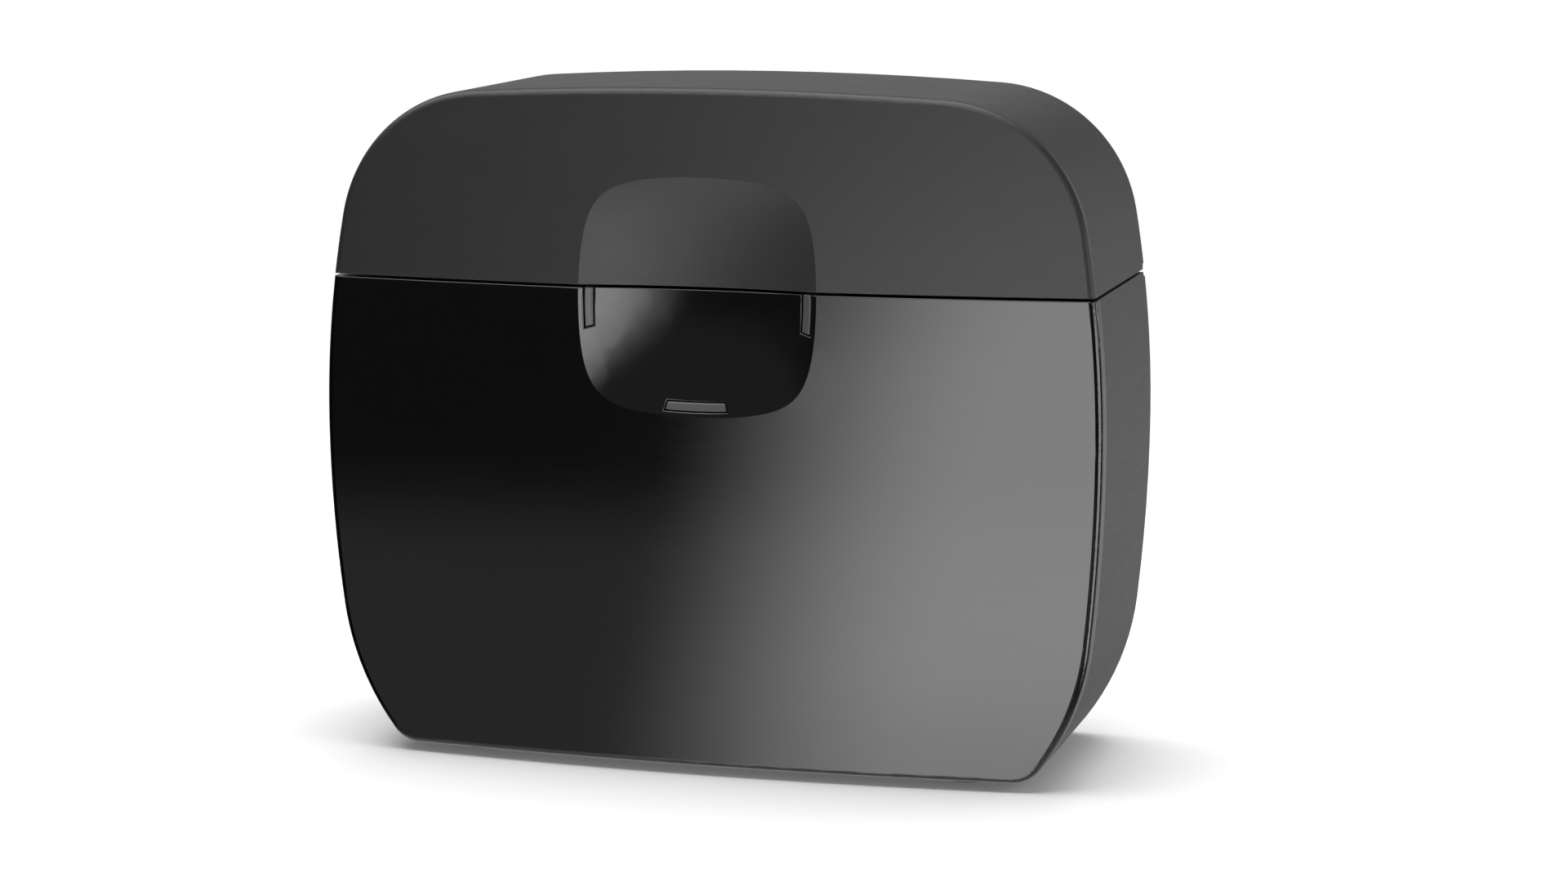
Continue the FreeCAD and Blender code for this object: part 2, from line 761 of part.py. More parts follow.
# Light board behind the dish
def make_light_board():
    board = block(-light_board_half_width, light_board_half_width, light_board_front, light_board_back,
                  light_board_bottom, light_board_top)
    for side in (-1, 1):
        start = V(side * light_boss_half_spread, light_board_front, light_boss_height)
        end = V(side * light_boss_half_spread, light_board_back, light_boss_height)
        board = board.cut(rod(light_screw_radius + fit_gap, start, end))
    return board


def make_status_leds():
    leds = []
    for name, direction in window_directions.items():
        angle = direction + led_leans[name]
        x, z = polar((0, scoop_height), scoop_edge(angle) - window_seat, angle)
        z = min(z, light_board_top - led_width / 2)
        leds.append(block(x - led_width / 2, x + led_width / 2,
                          light_board_front - led_height, light_board_front,
                          z - led_width / 2, z + led_width / 2))
    return leds


def make_light_board_screws():
    screws = []
    for side in (-1, 1):
        seat = V(side * light_boss_half_spread, light_board_back, light_boss_height)
        tip = seat - V(0, light_screw_length, 0)
        head = rod(light_head_radius, seat, seat + V(0, light_head_height, 0))
        screws.append(head.fuse(rod(light_screw_radius, tip, seat)))
    return screws


# Flat cable from the light board down to the main board
flex_y = light_board_back + flex_socket_depth / 2
flex_height = board_top + flex_socket_depth / 2
flex_socket_bottom = light_board_bottom + flex_bend_radius / 2
flex_end_y = cup_y - plug_length / 2 - flex_plug_gap - flex_socket_length


def make_flex_cable():
    half = flex_thickness / 2
    outer = [(flex_y - half, flex_socket_bottom), (flex_y - half, flex_height + flex_bend_radius),
             (flex_y + flex_bend_radius, flex_height - half), (flex_end_y, flex_height - half)]
    inner = [(flex_y + half, flex_socket_bottom), (flex_y + half, flex_height + flex_bend_radius),
             (flex_y + flex_bend_radius, flex_height + half), (flex_end_y, flex_height + half)]
    turn = (flex_y + flex_bend_radius, flex_height + flex_bend_radius)
    edges = []
    for spots, radius in ((outer, flex_bend_radius + half), (inner, flex_bend_radius - half)):
        points = [V(-flex_width / 2, y, z) for y, z in spots]
        slant = radius * math.sqrt(0.5)
        middle = V(-flex_width / 2, turn[0] - slant, turn[1] - slant)
        edges += [Part.makeLine(points[0], points[1]), Part.Arc(points[1], middle, points[2]).toShape(),
                  Part.makeLine(points[2], points[3])]
    for index in (0, 3):
        ends = [V(-flex_width / 2, y, z) for y, z in (outer[index], inner[index])]
        edges.append(Part.makeLine(*ends))
    return Part.Face(Part.Wire(Part.__sortEdges__(edges))).extrude(V(flex_width, 0, 0))


def make_flex_sockets():
    half = flex_socket_width / 2
    upper = block(-half, half, light_board_back, light_board_back + flex_socket_depth,
                  flex_socket_bottom, flex_socket_bottom + flex_socket_length)
    lower = block(-half, half, flex_end_y, flex_end_y + flex_socket_length,
                  board_top, board_top + flex_socket_depth)
    return [upper, lower]


# Magnets under the tray's rim and above the liner's rim
magnet_x = magnet_side_share * half_width


def make_magnets(front_depth, rim_width, low):
    magnets = []
    for side in (-1, 1):
        middle = front_at(magnet_x, low) + front_depth + rim_width / 2
        magnets.append(block(side * magnet_x - magnet_length / 2, side * magnet_x + magnet_length / 2,
                             middle - magnet_thickness / 2, middle + magnet_thickness / 2,
                             low, low + magnet_height))
    return magnets


# Lid: shell with the upper half of the dish and the middle knuckle
liner_rim_bottom = lid_bottom + tray_drop
liner_rim_top = liner_rim_bottom + tray_rim_thickness
liner_ceiling = case_height - pan_inset - liner_wall
liner_screw_x = max(corner_center[0] - liner_screw_setback,
                    slot_x + slot_width / 2 + fit_gap + liner_head_radius)
liner_screw_y = liner_screw_depth_share * back_y
liner_screw_spots = [(sx * liner_screw_x, sy * liner_screw_y) for sx in (-1, 1) for sy in (-1, 1)]


def ceiling_at(x, inset):
    """Height of the lid's inner side, set in, at a distance from the middle."""
    center, radius = crown_center, crown_radius
    if x > polar(corner_center, top_corner_radius - inset, corner_end)[0]:
        center, radius = corner_center, top_corner_radius
    return center[1] + math.sqrt((radius - inset) ** 2 - (x - center[0]) ** 2)


def make_lid_shell():
    outer = rounded_case(lid_front_round).common(slab(lid_bottom, case_height + cut_overrun))
    hollow = space(wall, lid_front_wall, wall, 0, case_height)
    backing = scoop_tool(scoop_wall).common(space(0, panel_round, wall, lid_bottom, case_height))
    lid = outer.cut(hollow).fuse(backing).cut(scoop_tool(0))
    for x, y in liner_screw_spots:
        start = V(x, y, ceiling_at(abs(x) + liner_boss_radius, pan_inset - liner_boss_gap))
        boss = rod(liner_boss_radius, start, V(x, y, case_height))
        boss = boss.common(space(wall / 2, lid_front_wall, wall, 0, case_height))
        boss = boss.cut(space(pan_inset - liner_boss_gap, lid_front_wall, wall, 0, case_height))
        tip = ceiling_at(abs(x), pan_inset + liner_wall) + liner_screw_length + fit_gap
        lid = lid.fuse(boss).cut(rod(liner_screw_radius + screw_gap, V(x, y, lid_bottom), V(x, y, tip)))
    lid = lid.cut(hinge_relief(1))
    lid = lid.cut(hinge_bar(hinge_barrel_radius + hinge_barrel_gap, -hinge_half_length - hinge_end_gap,
                            hinge_half_length + hinge_end_gap))
    lid = lid.fuse(knuckle(-lid_knuckle_length / 2, lid_knuckle_length / 2, 1))
    lid = lid.cut(hinge_bar(hinge_pin_radius + hinge_running_fit, -half_width, half_width))
    return lid.removeSplitter()


def make_lid_liner():
    liner = rim_plate(liner_front_depth, liner_rim_bottom, liner_rim_top)
    liner = liner.fuse(pan_space(liner_front_depth, 0, liner_rim_bottom, case_height))
    liner = liner.cut(pan_space(liner_front_depth, liner_wall, 0, case_height))
    for x, y in liner_screw_spots:
        liner = liner.cut(rod(liner_screw_radius + fit_gap, V(x, y, lid_bottom), V(x, y, case_height)))
    return liner.removeSplitter()


def make_liner_screws():
    screws = []
    for x, y in liner_screw_spots:
        seat = ceiling_at(abs(x) + liner_head_radius, pan_inset + liner_wall)
        head = rod(liner_head_radius, V(x, y, seat - liner_head_height), V(x, y, seat))
        screws.append(head.fuse(rod(liner_screw_radius, V(x, y, seat), V(x, y, seat + liner_screw_length))))
    return screws


def make_pad(side):
    pad = rounded(side * slot_x, cup_y, slot_width, pad_length, cup_corner_share * slot_width,
                  liner_ceiling - pad_height, case_height)
    pad = pad.makeFillet(pad_round, level_edges(pad, liner_ceiling - pad_height))
    return pad.common(pan_space(liner_front_depth, liner_wall, 0, case_height))


def save(node, shape):
    """Write one node, which may hold several like solids."""
    solids = [solid for item in (shape if isinstance(shape, list) else [shape]) for solid in item.Solids]
    result = solids[0] if len(solids) == 1 else Part.makeCompound(solids)
    result.exportStep("parts/" + node + ".step")


os.makedirs("parts", exist_ok=True)
save("housing", make_housing())
save("front_frame", make_front_frame())
save("panel_tape", make_panel_tape())
save("front_panel", make_front_panel())
save("frame_screws", make_frame_screws())
for name, direction in window_directions.items():
    save("status_window_" + name, make_window(direction))
save("light_board", make_light_board())
save("status_leds", make_status_leds())
save("light_board_screws", make_light_board_screws())
save("flex_cable", make_flex_cable())
save("flex_sockets", make_flex_sockets())
save("main_board", make_main_board())
save("board_screws", make_board_screws())
save("board_chips", make_board_chips())
save("usb_socket", make_usb_socket())
save("usb_tongue", make_usb_tongue())
save("charging_tray", make_charging_tray())
for name, (spot, depth) in cup_spots.items():
    save(name, make_cup(spot, depth))
for name, x in mark_spots.items():
    save(name, make_mark(x))
for name, side in (("right", 1), ("left", -1)):
    save("charge_coil_" + name, make_coil(side))
    save("ferrite_" + name, make_ferrite(side))
    save("coil_lead_" + name, make_lead(side))
    save("aid_pad_" + name, make_pad(side))
save("coil_plugs", make_coil_plugs())
save("tray_magnets", make_magnets(housing_front_depth, tray_rim_width, tray_rim_bottom - magnet_height))
save("rubber_feet", make_rubber_feet())
save("hinge_pin", make_hinge_pin())
save("lid_shell", make_lid_shell())
save("lid_liner", make_lid_liner())
save("liner_screws", make_liner_screws())
save("lid_magnets", make_magnets(liner_front_depth, tray_rim_width, liner_rim_top))
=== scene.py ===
import bpy
import math
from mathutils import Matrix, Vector
from mathutils.kdtree import KDTree


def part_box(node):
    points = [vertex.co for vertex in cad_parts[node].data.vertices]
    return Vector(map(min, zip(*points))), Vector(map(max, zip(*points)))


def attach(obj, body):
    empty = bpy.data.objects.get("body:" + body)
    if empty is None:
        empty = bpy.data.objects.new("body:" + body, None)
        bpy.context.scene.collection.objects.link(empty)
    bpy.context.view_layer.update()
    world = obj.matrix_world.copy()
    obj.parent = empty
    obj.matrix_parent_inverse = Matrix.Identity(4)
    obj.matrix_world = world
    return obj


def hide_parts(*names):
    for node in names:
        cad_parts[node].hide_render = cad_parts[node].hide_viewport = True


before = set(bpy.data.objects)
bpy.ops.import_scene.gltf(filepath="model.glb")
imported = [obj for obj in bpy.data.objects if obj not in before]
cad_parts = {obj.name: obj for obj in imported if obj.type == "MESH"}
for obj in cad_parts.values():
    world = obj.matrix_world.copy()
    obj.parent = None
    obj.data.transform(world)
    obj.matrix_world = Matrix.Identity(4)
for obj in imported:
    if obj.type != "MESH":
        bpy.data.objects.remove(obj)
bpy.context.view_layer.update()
bpy.context.scene.view_settings.view_transform = "Standard"

# Housing and front frame: the grey tub that carries everything, and the thin ring screwed
# to its front edge. Both are moulded plastic, a little uneven in tone where the melt met:
# the tub has a matte eroded grain, and the ring comes satin from a smoother mould.
grain_octaves = 2.0
mottle_octaves = 4.0
rub_octaves = 6.0
rub_scale = 160.0
rub_stretch = (1.0, 1.0, 9.0)
rub_low, rub_high = 0.3, 0.7
least_rough = 0.02
detail = bpy.data.node_groups.new("moulded_detail", "ShaderNodeTree")
for socket in ("Grain Scale", "Mottle Scale"):
    detail.interface.new_socket(socket, in_out="INPUT", socket_type="NodeSocketFloat")
for socket in ("Grain", "Mottle", "Rub"):
    detail.interface.new_socket(socket, in_out="OUTPUT", socket_type="NodeSocketFloat")
detail_in = detail.nodes.new("NodeGroupInput")
detail_out = detail.nodes.new("NodeGroupOutput")
detail_place = detail.nodes.new("ShaderNodeTexCoord")
detail_grain = detail.nodes.new("ShaderNodeTexNoise")
detail_grain.inputs["Detail"].default_value = grain_octaves
detail_mottle = detail.nodes.new("ShaderNodeTexNoise")
detail_mottle.inputs["Detail"].default_value = mottle_octaves
detail_stretch = detail.nodes.new("ShaderNodeMapping")
detail_stretch.inputs["Scale"].default_value = rub_stretch
detail_rub = detail.nodes.new("ShaderNodeTexNoise")
detail_rub.inputs["Scale"].default_value = rub_scale
detail_rub.inputs["Detail"].default_value = rub_octaves
detail.links.new(detail_place.outputs["Object"], detail_grain.inputs["Vector"])
detail.links.new(detail_place.outputs["Object"], detail_mottle.inputs["Vector"])
detail.links.new(detail_place.outputs["Object"], detail_stretch.inputs["Vector"])
detail.links.new(detail_stretch.outputs["Vector"], detail_rub.inputs["Vector"])
detail.links.new(detail_in.outputs["Grain Scale"], detail_grain.inputs["Scale"])
detail.links.new(detail_in.outputs["Mottle Scale"], detail_mottle.inputs["Scale"])
detail.links.new(detail_grain.outputs["Fac"], detail_out.inputs["Grain"])
detail.links.new(detail_mottle.outputs["Fac"], detail_out.inputs["Mottle"])
detail.links.new(detail_rub.outputs["Fac"], detail_out.inputs["Rub"])


def finish(name, colour, rough, grain=4000.0, bump=0.00001, mottle=120.0, tone=0.08,
           swing=0.06, metallic=0.0, shine=0.5):
    """A surface of one colour with grain in its relief and unevenness in its tone and gloss."""
    material = bpy.data.materials.new(name)
    material.use_nodes = True
    tree = material.node_tree
    shader = tree.nodes["Principled BSDF"]
    shader.inputs["Metallic"].default_value = metallic
    shader.inputs["Specular IOR Level"].default_value = shine
    group = tree.nodes.new("ShaderNodeGroup")
    group.node_tree = detail
    group.inputs["Grain Scale"].default_value = grain
    group.inputs["Mottle Scale"].default_value = mottle
    tint = tree.nodes.new("ShaderNodeMix")
    tint.data_type = "RGBA"
    tint.inputs["A"].default_value = [c * (1 - tone) for c in colour] + [1]
    tint.inputs["B"].default_value = [c * (1 + tone) for c in colour] + [1]
    gloss = tree.nodes.new("ShaderNodeMapRange")
    gloss.inputs["From Min"].default_value = rub_low
    gloss.inputs["From Max"].default_value = rub_high
    gloss.inputs["To Min"].default_value = rough + swing
    gloss.inputs["To Max"].default_value = max(rough - swing, least_rough)
    relief = tree.nodes.new("ShaderNodeBump")
    relief.inputs["Strength"].default_value = 1.0
    relief.inputs["Distance"].default_value = bump
    tree.links.new(group.outputs["Mottle"], tint.inputs["Factor"])
    tree.links.new(tint.outputs["Result"], shader.inputs["Base Color"])
    tree.links.new(group.outputs["Rub"], gloss.inputs["Value"])
    tree.links.new(gloss.outputs["Result"], shader.inputs["Roughness"])
    tree.links.new(group.outputs["Grain"], relief.inputs["Height"])
    tree.links.new(relief.outputs["Normal"], shader.inputs["Normal"])
    return material


def dress(material, *names):
    """Gives the finish to CAD pieces."""
    for name in names:
        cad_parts[name].material_slots[0].material = material


case_grey = finish("case_grey", (0.046, 0.046, 0.047), rough=0.4, swing=0.02, tone=0.05,
                   shine=0.38)
dress(case_grey, "housing")
frame_satin = finish("frame_satin", (0.045, 0.045, 0.046), rough=0.18, swing=0.02, tone=0.05)
dress(frame_satin, "front_frame")

# Rubber feet: four round pads of soft black rubber, moulded with a dull skin,
# pressed into seats under the tub and set inwards from its edge.
foot_rubber = finish("foot_rubber", (0.022, 0.022, 0.023), rough=0.8, grain=2500.0,
                     bump=0.00003, tone=0.15)
dress(foot_rubber, "rubber_feet")

# Main board and light board: glass fibre under green solder mask, with copper tracks
# that show as paler raised lines beneath the mask. Screwed to posts in the tub and panel.
mask_green = (0.012, 0.085, 0.04)
mask_shade = (0.01, 0.07, 0.034)
track_green = (0.03, 0.16, 0.07)
track_scale = 260.0
track_width = 0.06
board_green = finish("board_green", mask_green, rough=0.38, grain=1500.0, bump=0.000008)
track_tree = board_green.node_tree
track_place = track_tree.nodes.new("ShaderNodeTexCoord")
track_lines = track_tree.nodes.new("ShaderNodeTexBrick")
track_lines.inputs["Scale"].default_value = track_scale
track_lines.inputs["Mortar Size"].default_value = track_width
for socket, colour in (("Color1", mask_green), ("Color2", mask_shade), ("Mortar", track_green)):
    track_lines.inputs[socket].default_value = (*colour, 1)
track_tree.links.new(track_place.outputs["Object"], track_lines.inputs["Vector"])
track_shader = track_tree.nodes["Principled BSDF"]
track_tree.links.new(track_lines.outputs["Color"], track_shader.inputs["Base Color"])
dress(board_green, "main_board", "light_board")

# Chips and converter parts on the main board: black packages of filled epoxy,
# moulded round their frames and soldered flat on the board.
chip_black = finish("chip_black", (0.018, 0.018, 0.02), rough=0.55, grain=6000.0, tone=0.2)
dress(chip_black, "board_chips")

# Plugs of the coil leads and sockets of the flat cable: ivory nylon, moulded with
# thin walls. The sockets are soldered on the boards and the plugs pushed on from above.
nylon_ivory = finish("nylon_ivory", (0.62, 0.59, 0.5), rough=0.45, grain=3000.0)
dress(nylon_ivory, "coil_plugs", "flex_sockets")

# Flat cable between the two boards: amber polyimide film laid over thin copper tracks,
# pushed into a socket at each end and bent once in between.
film_amber = finish("film_amber", (0.42, 0.19, 0.035), rough=0.3, grain=900.0, tone=0.2)
dress(film_amber, "flex_cable")

# Lights behind the windows: small bodies of clear resin cast over the diode,
# soldered on the light board close behind each window.
led_resin = finish("led_resin", (0.7, 0.69, 0.62), rough=0.2, grain=2000.0)
dress(led_resin, "status_leds")

# Screws in the tub and hinge pin: bright zinc plated steel. The screws are rolled and
# cut their own thread in the posts, and the pin is drawn wire pressed into the outer knuckles.
screw_steel = finish("screw_steel", (0.56, 0.56, 0.57), rough=0.32, grain=3500.0,
                     bump=0.000006, swing=0.12, metallic=1.0)
dress(screw_steel, "frame_screws", "light_board_screws", "board_screws", "hinge_pin")

# Power inlet: a shell of drawn steel, tin plated, soldered on the board behind its port.
# In its middle stands a tongue of black nylon with gold plated contacts side by side.
inlet_plate = finish("inlet_plate", (0.6, 0.6, 0.6), rough=0.25, grain=1200.0,
                     bump=0.000004, swing=0.1, metallic=1.0)
dress(inlet_plate, "usb_socket")
contact_pitch = 0.0005
contact_share = 0.55
contact_gold = (0.75, 0.48, 0.16, 1)
tongue_black = finish("tongue_black", (0.018, 0.018, 0.02), rough=0.4, grain=6000.0)
tongue_tree = tongue_black.node_tree
tongue_shader = tongue_tree.nodes["Principled BSDF"]
tongue_place = tongue_tree.nodes.new("ShaderNodeTexCoord")
tongue_axes = tongue_tree.nodes.new("ShaderNodeSeparateXYZ")
tongue_rows = tongue_tree.nodes.new("ShaderNodeMath")
tongue_rows.operation = "PINGPONG"
tongue_rows.inputs[1].default_value = contact_pitch / 2
tongue_mask = tongue_tree.nodes.new("ShaderNodeMath")
tongue_mask.operation = "LESS_THAN"
tongue_mask.inputs[1].default_value = contact_pitch / 2 * contact_share
tongue_tint = tongue_tree.nodes.new("ShaderNodeMix")
tongue_tint.data_type = "RGBA"
tongue_tint.inputs["B"].default_value = contact_gold
tongue_tree.links.new(tongue_place.outputs["Object"], tongue_axes.inputs[0])
tongue_tree.links.new(tongue_axes.outputs["X"], tongue_rows.inputs[0])
tongue_tree.links.new(tongue_rows.outputs[0], tongue_mask.inputs[0])
tongue_tree.links.new(tongue_mask.outputs[0], tongue_tint.inputs["Factor"])
tongue_plain = tongue_shader.inputs["Base Color"].links[0].from_socket
tongue_tree.links.new(tongue_plain, tongue_tint.inputs["A"])
tongue_tree.links.new(tongue_tint.outputs["Result"], tongue_shader.inputs["Base Color"])
tongue_tree.links.new(tongue_mask.outputs[0], tongue_shader.inputs["Metallic"])
dress(tongue_black, "usb_tongue")

# Magnets: pressed and sintered blocks with a bright nickel plating, glued in pairs
# under the tray's rim and above the liner's rim, so that they hold the lid shut.
magnet_nickel = finish("magnet_nickel", (0.5, 0.49, 0.47), rough=0.22, grain=800.0,
                       bump=0.000004, metallic=1.0)
dress(magnet_nickel, "tray_magnets", "lid_magnets")

# Charging coils: enamelled copper wound round the cups, layer on layer, with ferrite
# plates below them and sleeved leads down to the board.
wire_scale = 800.0
wire_depth = 0.0001
copper_wire = finish("copper_wire", (0.42, 0.17, 0.06), rough=0.35, metallic=1.0)
wind_tree = copper_wire.node_tree
wind_place = wind_tree.nodes.new("ShaderNodeTexCoord")
wind_lines = wind_tree.nodes.new("ShaderNodeTexWave")
wind_lines.bands_direction = "Z"
wind_lines.inputs["Scale"].default_value = wire_scale
wind_relief = wind_tree.nodes.new("ShaderNodeBump")
wind_relief.inputs["Distance"].default_value = wire_depth
wind_tree.links.new(wind_place.outputs["Object"], wind_lines.inputs["Vector"])
wind_tree.links.new(wind_lines.outputs["Fac"], wind_relief.inputs["Height"])
wind_shader = wind_tree.nodes["Principled BSDF"]
wind_tree.links.new(wind_relief.outputs["Normal"], wind_shader.inputs["Normal"])
dress(copper_wire, "charge_coil_left", "charge_coil_right")
ferrite_grey = finish("ferrite_grey", (0.05, 0.05, 0.053), rough=0.6, grain=5000.0,
                      bump=0.00003, tone=0.2)
dress(ferrite_grey, "ferrite_left", "ferrite_right")
sleeve_black = finish("sleeve_black", (0.02, 0.02, 0.021), rough=0.5)
dress(sleeve_black, "coil_lead_left", "coil_lead_right")

# Foam tape: a thin black ring of acrylic foam, sticky on both faces and cut to the
# outline of the panel. It holds the panel on the front frame, out of sight.
foam_tape = finish("foam_tape", (0.03, 0.03, 0.031), rough=0.9, grain=2500.0, bump=0.00005,
                   tone=0.25)
dress(foam_tape, "panel_tape")

# Tray and cups: satin black plastic. The tray drops on ribs in the tub, and the
# cups for the aids and their receivers are pressed into it from above.
tray_black = finish("tray_black", (0.018, 0.018, 0.02), rough=0.42, grain=5000.0,
                    bump=0.000014, tone=0.12)
cup_black = finish("cup_black", (0.012, 0.012, 0.013), rough=0.3, grain=5000.0,
                   bump=0.000006, tone=0.12)
dress(tray_black, "charging_tray")
dress(cup_black, "aid_cup_left", "aid_cup_right", "receiver_cup_left", "receiver_cup_right")

# Side marks: two small studs of coloured plastic, moulded with a low dome and pressed
# into the tray, blue for the left aid and red for the right one.
mark_blue = finish("mark_blue", (0.02, 0.09, 0.42), rough=0.25, grain=1500.0)
mark_red = finish("mark_red", (0.45, 0.02, 0.02), rough=0.25, grain=1500.0)
dress(mark_blue, "left_mark")
dress(mark_red, "right_mark")

# Front panel: a thin domed plate in polished black plastic, stuck to the front frame.
# Its skin has the faint waviness of a moulding and hairline marks from wiping, and its
# upper edge along the seam is broken by a small round that catches the light.
panel_black = finish("panel_black", (0.0065, 0.0065, 0.007), rough=0.09, grain=70.0,
                     bump=0.0000015, swing=0.02)
edge_round = 0.00014
edge_steps = 4
merge_reach = 0.0000005
same_spot = 0.000001
smooth_angle = math.radians(40)
level_face = 0.6
front_face = -0.3
side_face = 0.02


def on_skin(normal, spot):
    """Whether a face belongs to the outside of the front or the sides."""
    return abs(normal.z) < level_face and (normal.y < front_face or normal.x * spot.x > side_face)


def soften(name, node, size, chosen):
    """Copy of a CAD piece with a small round along the chosen edges of its skin."""
    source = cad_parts[node].data
    bpy.ops.object.select_all(action="DESELECT")
    piece = bpy.data.objects.new(name, source.copy())
    bpy.context.scene.collection.objects.link(piece)
    bpy.context.view_layer.objects.active = piece
    piece.select_set(True)
    bpy.ops.mesh.customdata_custom_splitnormals_clear()
    bpy.ops.object.mode_set(mode="EDIT")
    bpy.ops.mesh.select_mode(type="EDGE")
    bpy.ops.mesh.select_all(action="SELECT")
    bpy.ops.mesh.remove_doubles(threshold=merge_reach)
    bpy.ops.mesh.select_all(action="DESELECT")
    bpy.ops.object.mode_set(mode="OBJECT")
    mesh = piece.data
    sides = {}
    for face in mesh.polygons:
        for key in face.edge_keys:
            sides.setdefault(key, []).append(face.normal)
    for edge in mesh.edges:
        ends = [mesh.vertices[index].co for index in edge.vertices]
        skin = [normal for normal in sides[edge.key] if on_skin(normal, ends[0])]
        other = [normal for normal in sides[edge.key] if not on_skin(normal, ends[0])]
        edge.select = len(skin) == 1 and len(other) == 1 and chosen(ends, other[0])
    bpy.ops.object.mode_set(mode="EDIT")
    bpy.ops.mesh.bevel(offset=size, segments=edge_steps, affect="EDGES", clamp_overlap=False)
    bpy.ops.object.mode_set(mode="OBJECT")
    bpy.ops.object.shade_smooth_by_angle(angle=smooth_angle)
    corners = KDTree(len(source.loops))
    owners = {}
    for face in source.polygons:
        for index in face.loop_indices:
            corners.insert(source.vertices[source.loops[index].vertex_index].co, index)
            owners[index] = face.normal
    corners.balance()
    normals = [corner.vector.copy() for corner in mesh.corner_normals]
    edge_normals = {}
    for face in mesh.polygons:
        for index in face.loop_indices:
            if not face.select:
                vertex = mesh.vertices[mesh.loops[index].vertex_index]
                near = corners.find_range(corners.find(vertex.co)[0], same_spot)
                best = max(near, key=lambda found: owners[found[1]].dot(face.normal))[1]
                normals[index] = source.corner_normals[best].vector.copy()
                if on_skin(face.normal, face.center):
                    edge_normals[vertex.index] = normals[index]
    for face in mesh.polygons:
        for index in face.loop_indices:
            if face.select:
                normals[index] = edge_normals.get(mesh.loops[index].vertex_index, normals[index])
    mesh.normals_split_custom_set(normals)
    return piece


panel_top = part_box("front_panel")[1].z
seam_face = 0.9
seam_reach = 0.00001
slot_wall = 0.3
dish_reach = 0.0145
dish_low = 0.044


def panel_edge(ends, other):
    """The panel's upper edge and the edges of its slots."""
    lowest = min(end.z for end in ends)
    upper = other.z > seam_face and lowest > panel_top - seam_reach
    in_dish = max(abs(end.x) for end in ends) < dish_reach and lowest > dish_low
    return upper or in_dish and abs(other.y) < slot_wall


panel = soften("panel_shell", "front_panel", edge_round, panel_edge)
panel.material_slots[0].material = panel_black
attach(panel, "base")
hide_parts("front_panel")

# Light windows: frosted grey bars snapped into slots in the dish from behind.
# Their front edges are rounded in the mould, so each shows a fine pale border.
window_round = 0.0002
window_back = 0.5
window_frost = finish("window_frost", (0.165, 0.165, 0.169), rough=0.37, grain=6000.0,
                      bump=0.000008, tone=0.05)


def window_edge(ends, other):
    """A window's front edges, all round."""
    return other.y < window_back


for side in ("left", "right", "power"):
    window = soften("light_window_" + side, "status_window_" + side, window_round, window_edge)
    window.material_slots[0].material = window_frost
    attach(window, "base")
    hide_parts("status_window_" + side)

# Lid: the same moulded plastic as the tub, its lower edge broken like the panel's,
# with a black liner screwed up inside it.
seam_gap = 0.0003
lid_low = panel_top + seam_gap


def lid_edge(ends, other):
    """The lid's lower edge, along the seam."""
    return other.z < -seam_face and max(end.z for end in ends) < lid_low + seam_reach


lid = soften("lid_cover", "lid_shell", edge_round, lid_edge)
lid.material_slots[0].material = case_grey
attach(lid, "lid")
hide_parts("lid_shell")
liner_black = finish("liner_black", (0.02, 0.02, 0.022), rough=0.45, grain=5000.0,
                     bump=0.000014, tone=0.12)
dress(liner_black, "lid_liner")

# Liner screws: four pan head screws of zinc plated steel that fix the liner to posts in
# the lid. Each head is rounded at its rim and has a cross for the driver in its face.
head_radius = 0.0017
head_height = 0.001
head_facets = 40
shank_radius = 0.0009
rim_round = 0.00045
rim_steps = 5
point_share = 0.2
square_on = 0.99
cross_reach = 0.001
cross_width = 0.00045
cross_depth = 0.0006
cross_taper = 0.6
screw_turns = (0.4, 1.1, 0.15, 0.8)
low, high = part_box("liner_screws")
head_x, head_y = high.x - head_radius, high.y - head_radius
bpy.ops.object.select_all(action="DESELECT")
bpy.ops.mesh.primitive_cylinder_add(vertices=head_facets, radius=head_radius, depth=head_height,
                                    location=(head_x, head_y, low.z + head_height / 2))
screw = bpy.context.object
bpy.ops.object.transform_apply(location=True, rotation=True, scale=True)
bpy.ops.object.mode_set(mode="EDIT")
bpy.ops.mesh.select_mode(type="EDGE")
bpy.ops.mesh.select_all(action="DESELECT")
bpy.ops.object.mode_set(mode="OBJECT")
for edge in screw.data.edges:
    highest = max(screw.data.vertices[index].co.z for index in edge.vertices)
    edge.select = highest < low.z + head_height / 2
bpy.ops.object.mode_set(mode="EDIT")
bpy.ops.mesh.bevel(offset=rim_round, segments=rim_steps, affect="EDGES")
bpy.ops.mesh.select_mode(type="FACE")
bpy.ops.mesh.select_all(action="DESELECT")
bpy.ops.object.mode_set(mode="OBJECT")
for face in screw.data.polygons:
    face.select = face.normal.z > square_on
bpy.ops.object.mode_set(mode="EDIT")
bpy.ops.mesh.inset(thickness=head_radius - shank_radius)
shank_length = high.z - low.z - head_height
for share in (1 - point_share, point_share):
    bpy.ops.mesh.extrude_region_move(TRANSFORM_OT_translate={"value": (0, 0, shank_length * share)})
bpy.ops.transform.resize(value=(cross_taper, cross_taper, 1),
                         center_override=(head_x, head_y, high.z))
bpy.ops.object.mode_set(mode="OBJECT")
bpy.ops.object.select_all(action="DESELECT")
bpy.ops.mesh.primitive_cube_add(size=1, location=(head_x, head_y, low.z),
                                scale=(cross_width, cross_width, cross_depth * 2))
cross = bpy.context.object
bpy.ops.object.transform_apply(location=True, rotation=True, scale=True)
